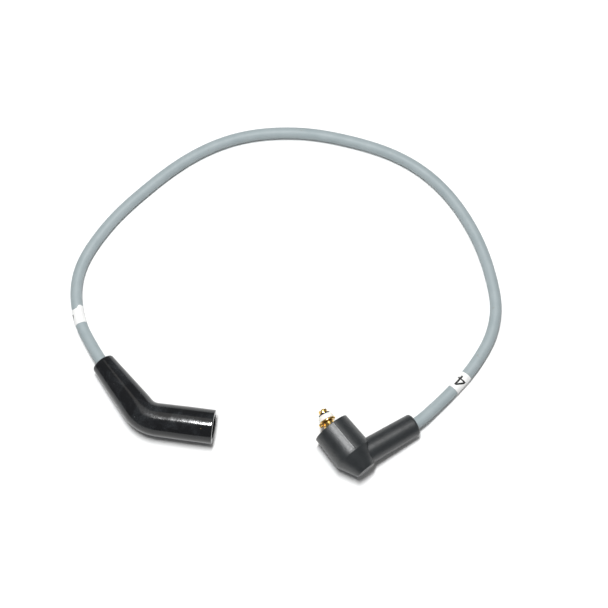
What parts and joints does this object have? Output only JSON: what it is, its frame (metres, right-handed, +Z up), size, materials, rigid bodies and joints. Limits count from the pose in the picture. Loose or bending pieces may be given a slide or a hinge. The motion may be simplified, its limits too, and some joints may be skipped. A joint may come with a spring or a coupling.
{
  "type": "ignition lead",
  "caption": "High-tension ignition lead: thick flexible cable with a bent rubber plug boot at one end and an elbow boot with a protruding split brass contact at the other.",
  "frame": {"origin": "on the bench plane, under the middle of the box around the two boots and the contact", "axes": "+X from the plug boot towards the contact boot, +Y from the boots into the cable's loop, +Z up from the bench the lead lies on"},
  "size_m": [0.2628, 0.2273, 0.024],
  "materials": {
    "cable_silicone": "satin light blue-grey silicone, slightly soiled",
    "glass_braid": "woven glass fibre",
    "core_insulation": "matt",
    "carbon_core": "carbon-loaded yarn",
    "marker_film": "matt white tape",
    "marker_ink": "printed numeral",
    "plug_rubber": "glossy black rubber with dust",
    "boot_rubber": "satin moulded black rubber",
    "brass": "bright, lightly tarnished",
    "spring_steel": "bright wire",
    "nylon": "natural white",
    "seal_rubber": "matt black"
  },
  "bodies": {
    "lead": {"cable_jacket": "cable_silicone", "cable_braid": "glass_braid", "cable_insulation": "core_insulation", "conductor_core": "carbon_core", "plug_marker": "marker_film", "contact_marker": "marker_film", "plug_boot": "plug_rubber", "plug_terminal": "brass", "plug_terminal_clip": "spring_steel", "contact_boot": "boot_rubber", "contact_elbow": "brass"},
    "contact": {"contact_barrel": "brass", "contact_flange": "brass", "contact_insulator": "nylon", "contact_o_ring": "seal_rubber", "contact_pin": "brass"}
  },
  "joints": [
    {"name": "contact_rock", "type": "hinge", "parent": "lead", "child": "contact", "pos_m": [0.05217, -0.02301, 0.012], "axis": [0, 0, 1], "range_deg": [-6, 14], "stiffness_Nm_per_rad": 0.06}
  ]
}
